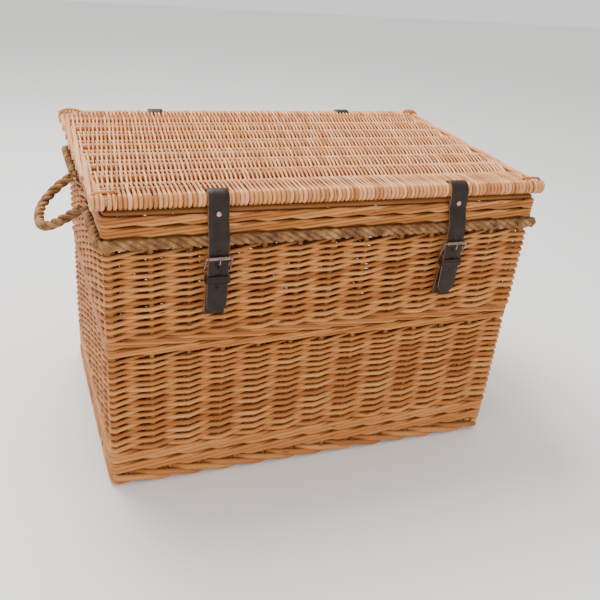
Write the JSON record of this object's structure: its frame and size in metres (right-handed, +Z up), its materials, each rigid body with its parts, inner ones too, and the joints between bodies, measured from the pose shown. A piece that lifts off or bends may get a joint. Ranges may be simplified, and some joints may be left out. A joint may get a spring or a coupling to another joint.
{
  "type": "wicker storage trunk",
  "caption": "Tapered woven willow storage trunk with a hinged woven lid, twisted rope side handles and two leather straps with roller buckles.",
  "frame": {"origin": "on the floor under the middle of the whole trunk's box", "axes": "+Z up, the front with the buckles faces -Y, +X runs along the front to the viewer's right"},
  "size_m": [0.8884, 0.5152, 0.5205],
  "materials": {
    "body_willow": "peeled buff willow rods, satin",
    "lid_willow": "peeled buff willow rods, satin, lighter",
    "stakes": "peeled willow sticks, matte",
    "rope": "three-strand natural fibre rope, matte",
    "leather": "dark brown strap leather with tan cut edges",
    "buckles": "dull nickel-plated wire",
    "rivets": "coppery domed rivet heads"
  },
  "bodies": {
    "trunk": {"base_stick_1": "stakes", "base_stick_2": "stakes", "base_stick_3": "stakes", "base_wale": "body_willow", "base_weave": "body_willow", "buckle_rivet_left": "rivets", "buckle_rivet_right": "rivets", "buckle_strap_left": "leather", "buckle_strap_right": "leather", "corner_post_back_left": "stakes", "corner_post_back_right": "stakes", "corner_post_front_left": "stakes", "corner_post_front_right": "stakes", "foot_border": "body_willow", "hinge_left_leaf": "leather", "hinge_left_rivet": "rivets", "hinge_right_leaf": "leather", "hinge_right_rivet": "rivets", "keeper_left": "leather", "keeper_right": "leather", "lower_weave": "body_willow", "middle_wale": "body_willow", "rope_back": "rope", "rope_front": "rope", "stakes_back": "stakes", "stakes_front": "stakes", "stakes_left": "stakes", "stakes_right": "stakes", "top_wale": "body_willow", "upper_weave": "body_willow"},
    "lid": {"hinge_left_loop": "leather", "hinge_right_loop": "leather", "lid_back_bar": "lid_willow", "lid_end_left": "lid_willow", "lid_end_right": "lid_willow", "lid_front_bar": "lid_willow", "lid_stick_1": "stakes", "lid_stick_2": "stakes", "lid_stick_3": "stakes", "lid_stick_4": "stakes", "lid_stick_5": "stakes", "lid_stick_6": "stakes", "lid_stick_7": "stakes", "lid_stick_8": "stakes", "lid_weave": "lid_willow", "strap_left_loop": "leather", "strap_left_rivet": "rivets", "strap_right_loop": "leather", "strap_right_rivet": "rivets"},
    "strap_left": {"strap_left": "leather"},
    "strap_right": {"strap_right": "leather"},
    "buckle_left": {"buckle_frame_left": "buckles"},
    "roller_left": {"roller_left": "buckles"},
    "prong_left": {"prong_left": "buckles"},
    "buckle_right": {"buckle_frame_right": "buckles"},
    "roller_right": {"roller_right": "buckles"},
    "prong_right": {"prong_right": "buckles"},
    "handle_left": {"handle_left": "rope"},
    "handle_right": {"handle_right": "rope"}
  },
  "joints": [
    {"name": "lid_hinge", "type": "hinge", "parent": "trunk", "child": "lid", "pos_m": [0, 0.2413, 0.5042], "axis": [-1, 0, 0], "range_deg": [0, 110]},
    {"name": "strap_left_flex", "type": "hinge", "parent": "lid", "child": "strap_left", "pos_m": [-0.197, -0.2372, 0.48], "axis": [-1, 0, 0], "range_deg": [-90, 0]},
    {"name": "buckle_left_tilt", "type": "hinge", "parent": "trunk", "child": "buckle_left", "pos_m": [-0.197, -0.2406, 0.396], "axis": [1, 0, 0], "range_deg": [0, 3]},
    {"name": "roller_left_spin", "type": "hinge", "parent": "buckle_left", "child": "roller_left", "pos_m": [-0.197, -0.2525, 0.421], "axis": [1, 0, 0], "continuous": true},
    {"name": "prong_left_swing", "type": "hinge", "parent": "buckle_left", "child": "prong_left", "pos_m": [-0.197, -0.2406, 0.396], "axis": [1, 0, 0], "range_deg": [0, 3]},
    {"name": "strap_right_flex", "type": "hinge", "parent": "lid", "child": "strap_right", "pos_m": [0.208, -0.2372, 0.48], "axis": [-1, 0, 0], "range_deg": [-90, 0]},
    {"name": "buckle_right_tilt", "type": "hinge", "parent": "trunk", "child": "buckle_right", "pos_m": [0.208, -0.2406, 0.396], "axis": [1, 0, 0], "range_deg": [0, 3]},
    {"name": "roller_right_spin", "type": "hinge", "parent": "buckle_right", "child": "roller_right", "pos_m": [0.208, -0.2525, 0.421], "axis": [1, 0, 0], "continuous": true},
    {"name": "prong_right_swing", "type": "hinge", "parent": "buckle_right", "child": "prong_right", "pos_m": [0.208, -0.2406, 0.396], "axis": [1, 0, 0], "range_deg": [0, 3]},
    {"name": "handle_left_swing", "type": "hinge", "parent": "trunk", "child": "handle_left", "pos_m": [-0.3725, 0.0021, 0.4432], "axis": [0, 1, 0], "range_deg": [-30, 60]},
    {"name": "handle_right_swing", "type": "hinge", "parent": "trunk", "child": "handle_right", "pos_m": [0.3725, 0.0021, 0.4432], "axis": [0, -1, 0], "range_deg": [-30, 60]}
  ],
  "couplings": [
    {"joint": "strap_left_flex", "follows": "lid_hinge", "ratio": -0.8},
    {"joint": "strap_right_flex", "follows": "lid_hinge", "ratio": -0.8}
  ]
}
